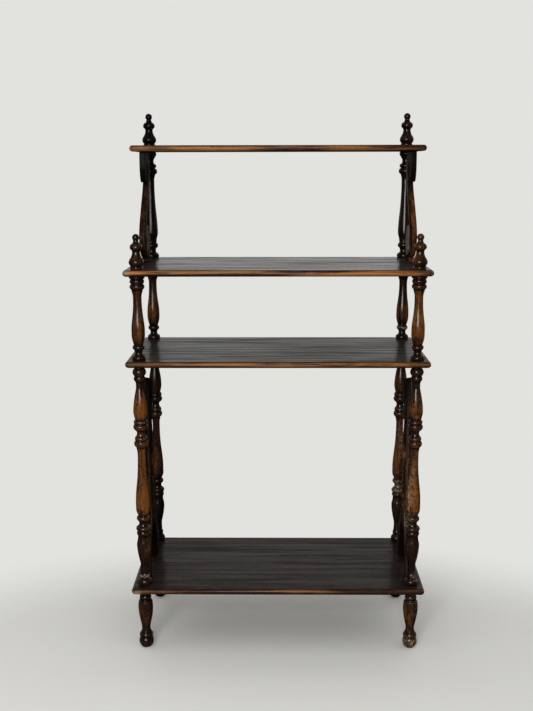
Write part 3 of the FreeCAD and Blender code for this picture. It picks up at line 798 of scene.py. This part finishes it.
# %% [markdown]
# ## Rubbed places
#
# Where a cloth rubs, the stain goes and the warm wood comes up, but never evenly. The crest mark
# on the mesh says where a cloth can reach, and noise breaks it up. The rub is the crest plus an
# amount, less a threshold that wanders from place to place, and it fades out with the crest.

# %% Group: rubbed places
rubbed, given, gives = new_group("rubbed places", {
    "Place": None, "Crest": 0.0, "Amount": 0.5, "Patches per metre": 60.0}, ["Rub"])
patch = noise(rubbed, given["Place"], given["Patches per metre"], 4.0, 0.62)
wander = ranged(rubbed, patch, 0.36, 0.64, 1.0, 0.0)
edge_of_rub = maths(rubbed, "SUBTRACT", maths(rubbed, "ADD", given["Crest"], given["Amount"]), wander)
strength = ranged(rubbed, edge_of_rub, 0.0, 0.9)
feed(rubbed, gives["Rub"], times(rubbed, strength, given["Crest"]))

# %% [markdown]
# ## Dust, and painted shade in the creases
#
# Shade is painted dark into the creases, and pale dust settles on whatever faces up. The normal of the
# surface says which way it faces. A fifth of the dust clings all round, and noise breaks it up.

# %% Group: dust and painted crease shade
dust_and_crease_shade, given, gives = new_group("dust and crease shade", {
    "Place": None, "Crease": 0.0, "Dustiness": 0.3, "Specks per metre": 160.0}, ["Wax", "Dust"])
normal = put(dust_and_crease_shade, "NewGeometry").outputs["Normal"]
facing = put(dust_and_crease_shade, "SeparateXYZ", {0: normal}).outputs["Z"]
specks = noise(dust_and_crease_shade, given["Place"], given["Specks per metre"], 5.0, 0.7)
upward = ranged(dust_and_crease_shade, facing, -0.25, 0.95)
lying = times(dust_and_crease_shade, upward, 0.8, 0.2)
settled = times(dust_and_crease_shade, ranged(dust_and_crease_shade, specks, 0.38, 0.66), lying)
feed(dust_and_crease_shade, gives["Dust"], times(dust_and_crease_shade, settled, given["Dustiness"]))
soft = noise(dust_and_crease_shade, given["Place"], times(dust_and_crease_shade, given["Specks per metre"], 0.4), 3.0, 0.6)
# Painted shade: the crease mark, broken up by soft noise, darkens the creases.
feed(dust_and_crease_shade, gives["Wax"], times(dust_and_crease_shade, given["Crease"], ranged(dust_and_crease_shade, soft, 0.2, 0.6, 0.55, 1.0)))
print("groups:", [group.name for group in bpy.data.node_groups])

# %% [markdown]
# ## The turned wood
#
# All the posts had the same nearly black stain. Daylight and hands have taken it off the front
# ones, so their swells glow orange-brown, and the rear ones have kept most of it. The rear ones
# are also painted darker as shade, and shade is painted dark into the hollows. One material does
# them all. How warm a piece has become, with its painted shade, and how dusty it is are marks on
# its mesh. Where the stain has gone, the tone is less even and the coat of varnish is stronger. A
# third mark lays bare tan wood.

# %% A coat of wood finish
def mark(tree, name):
    return put(tree, "Attribute", attribute_name=name).outputs["Fac"]


def rubbed_share(tree, place_, amount, patches):
    sockets = {"Place": place_, "Crest": mark(tree, "crest"), "Amount": amount, "Patches per metre": patches}
    return put(tree, "Group", sockets, node_tree=rubbed).outputs["Rub"]


def dust_and_shade_on(tree, place_, crease=0.0, specks=160.0):
    sockets = {"Place": place_, "Crease": crease, "Dustiness": mark(tree, "dust"), "Specks per metre": specks}
    return put(tree, "Group", sockets, node_tree=dust_and_crease_shade).outputs


def wood_finish(name, stretch, bands, gloss, coat_roughness, coat=0.0, coat_ior=1.25):
    """A new material, its node tree, plain and stretched coordinates, grain and Principled shader."""
    material = bpy.data.materials.new(name)
    material.use_nodes = True
    tree = material.node_tree
    tree.nodes.clear()
    place_ = put(tree, "TexCoord").outputs["Object"]
    stretched = put(tree, "Mapping", {"Vector": place_, "Scale": stretch}).outputs[0]
    sockets = {"Stretched": stretched, "Bands per metre": bands}
    grain = put(tree, "Group", sockets, node_tree=wood_grain).outputs
    shader = put(tree, "BsdfPrincipled", {
        "Specular IOR Level": gloss, "Coat Weight": coat,
        "Coat IOR": coat_ior, "Coat Roughness": coat_roughness})
    put(tree, "OutputMaterial", {"Surface": shader.outputs[0]})
    return material, tree, place_, stretched, grain, shader


def complete(tree, shader, grain, colour, roughness, strength, depth):
    """The last three sockets of a finish. The bump raises the grain by that depth in metres."""
    bump = put(tree, "Bump", {"Strength": strength, "Distance": depth, "Height": grain["Height"]})
    feed(tree, shader.inputs["Base Color"], colour)
    feed(tree, shader.inputs["Roughness"], roughness)
    feed(tree, shader.inputs["Normal"], bump.outputs["Normal"])


BLACK_STAIN = (0.0028, 0.0016, 0.0011, 1)
BROWN_STAIN = (0.0165, 0.0065, 0.0032, 1)
AMBER = (0.120, 0.040, 0.007, 1)
HONEY = (0.200, 0.085, 0.028, 1)
TAN = (0.235, 0.155, 0.080, 1)
# The colour of the painted shade in the creases of the turning.
CREASE_SHADE = (0.0018, 0.0012, 0.0009, 1)
KHAKI_DUST = (0.20, 0.165, 0.11, 1)

turned_wood, tree, spot, _, grain, shader = wood_finish(
    "turned wood", (1.0, 1.0, 0.07), 42.0, gloss=0.01, coat_roughness=0.20, coat_ior=1.45)
mottle = ranged(tree, noise(tree, spot, 150.0, 5.0, 0.7), 0.34, 0.66)
# The warmth mark also carries painted shade: it is lower on most rear pieces and next to the boards.
warmth_and_shade = mark(tree, "warmth_and_shade")
uneven = ranged(tree, warmth_and_shade, 0.1, 0.6, 0.15, 0.5)
lit = swayed(tree, warmth_and_shade, grain["Bands"], 0.35)
lit = swayed(tree, lit, grain["Streaks"], uneven)
lit = swayed(tree, lit, mottle, uneven)
rub_share = ranged(tree, warmth_and_shade, 0.05, 0.7, 0.08, 0.60)
worn_tone = blended(tree, warmth_and_shade, BROWN_STAIN, HONEY)
bare_patches = times(tree, mark(tree, "bare_wood_and_highlight"), times(tree, grain["Streaks"], 0.65, mottle))
dust_and_shade = dust_and_shade_on(tree, spot, crease=mark(tree, "crease"))
colour = layered(tree, BLACK_STAIN, [
    (ranged(tree, lit, -0.1, 0.45), BROWN_STAIN),
    (ranged(tree, lit, 0.25, 1.15), AMBER),
    (times(tree, grain["Flecks"], 0.5), BLACK_STAIN),
    (times(tree, rubbed_share(tree, spot, 0.40, 130.0), rub_share), worn_tone),
    (ranged(tree, bare_patches, 0.1, 1.3), TAN),
    # Painted shade in the creases.
    (dust_and_shade["Wax"], CREASE_SHADE),
    (dust_and_shade["Dust"], KHAKI_DUST),
])
dull = times(tree, grain["Bands"], 0.10, 0.34)
dull = times(tree, dust_and_shade["Dust"], 0.35, dull)
dull = times(tree, dust_and_shade["Wax"], 0.2, dull)
feed(tree, shader.inputs["Coat Weight"], ranged(tree, warmth_and_shade, -0.15, 0.25, 0.02, 0.60))
complete(tree, shader, grain, colour, dull, 0.35, 0.0004)

# %% [markdown]
# ## The boards
#
# The tops of the boards are dark, with the grain running their length, streaks where the varnish
# is still glossy and a haze of dust. The nosing has been knocked and dusted until the stain wore
# thin, so it is golden, with darker dashes left in it.

# %% Board wood
BOARD_DARK, BOARD_LIGHT = (0.0045, 0.0018, 0.0012, 1), (0.0155, 0.0058, 0.0035, 1)
NOSING_DARK, NOSING_GOLD = (0.030, 0.009, 0.003, 1), (0.285, 0.112, 0.028, 1)
GREY_DUST = (0.16, 0.145, 0.125, 1)
board_wood, tree, spot, grain_way, grain, shader = wood_finish(
    "board wood", (0.045, 1.0, 1.0), 30.0, gloss=0.06, coat_roughness=0.15)
dashes = ranged(tree, noise(tree, grain_way, 95.0, 4.0, 0.65), 0.40, 0.60)
rub = rubbed_share(tree, grain_way, 0.70, 55.0)
dust_and_shade = dust_and_shade_on(tree, spot, specks=45.0)
colour = layered(tree, BOARD_DARK, [
    (grain["Bands"], BOARD_LIGHT),
    (times(tree, grain["Flecks"], 0.6), BLACK_STAIN),
    (times(tree, rub, mark(tree, "warmth_and_shade")), blended(tree, dashes, NOSING_DARK, NOSING_GOLD)),
    (dust_and_shade["Dust"], GREY_DUST),
    (mark(tree, "bare_wood_and_highlight"), TAN),
])
streaks = ranged(tree, noise(tree, grain_way, 70.0, 4.0, 0.65), 0.38, 0.62)
feed(tree, shader.inputs["Coat Weight"], times(tree, streaks, 0.32, 0.17))
dull = times(tree, dust_and_shade["Dust"], 0.4, times(tree, streaks, -0.22, 0.52))
complete(tree, shader, grain, colour, dull, 0.2, 0.0003)

# %% [markdown]
# ## Sawn and dowel wood
#
# The sawn plates were stained but hardly polished. Their sawn edges have gone warmer than their
# faces, and where stain has gone, honey wood shows in rubbed patches. Some runs get a grey painted
# highlight along the arris of their inner side. The dowels are plain light wood, and hardly show.

# %% Sawn wood and dowel wood
# The colour of the painted highlight on the inner arrises of the plates.
ARRIS_HIGHLIGHT = (0.24, 0.20, 0.165, 1)
sawn_wood, tree, spot, _, grain, shader = wood_finish(
    "sawn wood", (1.0, 1.0, 0.09), 46.0, gloss=0.0, coat_roughness=0.3, coat=0.12)
# The warmth mark also carries painted shade: it is lower next to the boards.
warmth_and_shade = mark(tree, "warmth_and_shade")
lit = swayed(tree, warmth_and_shade, grain["Bands"], ranged(tree, warmth_and_shade, 0.0, 0.3, 0.05, 0.5))
rub_share = ranged(tree, warmth_and_shade, 0.0, 0.3, 0.02, 0.45)
# Painted highlight: grey on the inner arris of the listed runs.
painted_arris_highlight = times(tree, mark(tree, "bare_wood_and_highlight"), times(tree, grain["Streaks"], 0.6, 0.5))
dust_and_shade = dust_and_shade_on(tree, spot)
colour = layered(tree, BLACK_STAIN, [
    (ranged(tree, lit, 0.0, 0.5), BROWN_STAIN),
    (ranged(tree, lit, 0.35, 1.0), AMBER),
    (times(tree, grain["Flecks"], 0.5), BLACK_STAIN),
    (times(tree, rubbed_share(tree, spot, 0.05, 80.0), rub_share), HONEY),
    (painted_arris_highlight, ARRIS_HIGHLIGHT),
    (dust_and_shade["Dust"], KHAKI_DUST),
])
complete(tree, shader, grain, colour, times(tree, grain["Bands"], 0.15, 0.48), 0.5, 0.0005)

DOWEL_DARK, DOWEL_LIGHT = (0.17, 0.095, 0.045, 1), (0.29, 0.18, 0.09, 1)
dowel_wood, tree, _, _, grain, shader = wood_finish(
    "dowel wood", (1.0, 1.0, 0.1), 120.0, gloss=0.3, coat_roughness=0.3)
colour = blended(tree, grain["Bands"], DOWEL_DARK, DOWEL_LIGHT)
complete(tree, shader, grain, colour, times(tree, grain["Flecks"], 0.2, 0.55), 0.4, 0.0003)

# %% [markdown]
# ## How each piece has aged, and where shade is painted
#
# The marks for warmth with painted shade, dust and bare wood are worked out for each piece from a
# few notes: one number for how much stain has gone and one for dust. The warmth numbers are also
# lowered as painted shade on most rear pieces, most of all on the rear legs, which stand in the
# shadow of the bottom board. On a turned piece the warmth follows the swells, and on a spindle or a
# sawn plate it also changes with height, and drops as painted shade where a piece meets or runs
# under a board. Along a board it passes through five values. Dust lies thicker in two patches on
# one fret. Bare wood shows in a few spots: a ring low on a spindle, a long streak up one side, the
# worn corner of a board.

# %% Ageing marks
# Rear pieces are partly lower as painted shade, and the rear legs go below zero as painted shade under the
# bottom board.
LEFT_AND_RIGHT = {
    "front_{}_leg": (0.38, 0.52), "front_{}_lower_spindle": (1.10, 0.86),
    "front_{}_middle_spindle": (0.60, 0.90), "front_{}_finial": (0.45, 0.60),
    "rear_{}_leg": (-0.2, -0.2), "rear_{}_lower_spindle": (0.40, 0.75),
    "rear_{}_middle_spindle": (0.85, 0.65), "rear_{}_upper_spindle": (0.18, 0.28),
    "rear_{}_finial": (0.08, 0.30), "{}_lyre_fret": (0.36, 0.56), "{}_scroll_bracket": (0.45, 0.55),
}
WARMTH_AND_SHADE = {"bottom_shelf": 0.55, "third_shelf": 0.85, "second_shelf": 1.15, "top_shelf": 1.1}
for name, pair in LEFT_AND_RIGHT.items():
    WARMTH_AND_SHADE.update({name.format(side): warmth_with_shade for side, warmth_with_shade in zip(SIDES, pair)})
DUST = {
    "rear_left_leg": 0.0, "rear_right_leg": 0.0,
    "rear_right_lower_spindle": 0.10, "front_right_leg": 0.10, "front_right_lower_spindle": 0.04,
    "bottom_shelf": 0.05, "third_shelf": 0.05, "second_shelf": 0.10, "top_shelf": 0.10,
    "right_lyre_fret": 0.05,
}
DUST_PATCHES = {"right_lyre_fret": [(134, 11), (282, 10)]}
BOARD_PLACES = [-340, -150, 0, 200, 340]
BOARD_FADE = {"bottom_shelf": [.9, .25, 1, .9, .7], "third_shelf": [.45, .8, 1, 1, 1],
              "second_shelf": [1, 1, 1, .9, 1], "top_shelf": [1, 1, .85, .6, .6]}
# Painted shade: each fade is low where the piece meets or runs under a board.
FADES = {
    "lower_spindle": (bottom_top,
                      [0, 95, 120, 135, 160, 190, 215, 260, 319, 345, 400, 422, 445, 480, 528],
                      [.25, .34, .3, .4, .55, .9, 1, 1.05, 1.15, .85, .7, .95, .8, .45, .5]),
    "middle_spindle": (third_top, [0, 30, 55, 80, 150, 165, 191], [.35, .5, .9, 1, 1, .7, .4]),
    "lyre_fret": (bottom_top, [0, 100, 135, 170, 250, 282, 310, 380, 500],
                  [.02, .08, 1, .55, .75, 1, .35, .12, .03]),
    "scroll_bracket": (second_top, [150, 190], [1, 0.1]),
}
BARE_BELLS = {
    "front_left_lower_spindle": [(0.9, bottom_top + 21, 4), (0.12, bottom_top + 150, 14)],
    "front_right_lower_spindle": [(0.8, bottom_top + 235, 55, "left"), (0.9, bottom_top + 22, 10, "right"),
                                  (0.15, bottom_top + 150, 14)],
    "rear_right_lower_spindle": [(0.7, bottom_top + 150, 16), (0.8, bottom_top + 290, 35, "right")],
    "rear_left_lower_spindle": [(0.3, bottom_top + 355, 18)],
    "rear_right_middle_spindle": [(0.7, third_top + 27, 8)],
    "front_right_leg": [(0.75, 12, 14)],
    "front_left_leg": [(0.25, 8, 8)],
}
BARE_CORNERS = {"bottom_shelf": (0.95, (-331, 7), (150, 2.5), (146, math.inf)),
                "second_shelf": (0.8, (-336, 8), (second_top - 6, 3), (0, second_top - 1))}
CORNER_BACK = -150


def bare_places(node, spots):
    """Where bare wood shows: a share from 0 to 1 for each point, from its place and the side it faces."""
    x, y, z = spots.T
    facing_left = np.clip(0.5 - (x - math.copysign(POST_X, x[0])) / 24, 0, 1)
    facing = {"left": facing_left, "right": 1 - facing_left}
    bare_wood_and_highlight = np.zeros_like(z)
    for share, height, width, *side in BARE_BELLS.get(node, []):
        bare_wood_and_highlight += share * bell(z, height, width) * (facing[side[0]] if side else 1)
    if node in BARE_CORNERS:
        share, along, upright, (low, high) = BARE_CORNERS[node]
        bare_wood_and_highlight = share * bell(x, *along) * bell(z, *upright) * (y < CORNER_BACK) * (z > low) * (z < high)
    return bare_wood_and_highlight


def dust_on(node, spots):
    """A little dust all over, and thicker patches at a few heights."""
    height = spots[:, 2] - bottom_top
    dust = np.full_like(height, DUST.get(node, 0.02))
    for middle, width in DUST_PATCHES.get(node, []):
        dust += 0.8 * bell(height, middle, width)
    return dust


def numbers_of(collection, name="value", each=1):
    values = np.empty(len(collection) * each, dtype=np.float32)
    collection.foreach_get(name, values)
    return values


for node, piece in pieces.items():
    spots = numbers_of(piece.data.vertices, "co", 3).reshape(-1, 3) / MM
    marks = piece.data.attributes
    if "shelf" in node:
        material, warmth_with_shade = board_wood, np.interp(spots[:, 0], BOARD_PLACES, BOARD_FADE[node])
    elif "fret" in node:
        material, warmth_with_shade = sawn_wood, 0.7 + 0.3 * numbers_of(marks["edge"].data)
    elif "bracket" in node:
        material, warmth_with_shade = sawn_wood, numbers_of(marks["edge"].data)
    else:
        material, warmth_with_shade = turned_wood, 0.55 + 0.45 * numbers_of(marks["swell"].data)
    warmth_with_shade = WARMTH_AND_SHADE[node] * warmth_with_shade
    for part, (base, heights, shares) in FADES.items():
        if part in node:
            warmth_with_shade = warmth_with_shade * np.interp(spots[:, 2] - base, heights, shares)
    add_mark(piece.data, "warmth_and_shade", warmth_with_shade)
    add_mark(piece.data, "dust", dust_on(node, spots))
    if material != sawn_wood:
        add_mark(piece.data, "bare_wood_and_highlight", bare_places(node, spots))
    piece.data.materials.append(material)

for node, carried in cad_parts.items():
    if "dowels" in node:
        carried.data.materials.clear()
        carried.data.materials.append(dowel_wood)
print("finished pieces:", len(pieces))
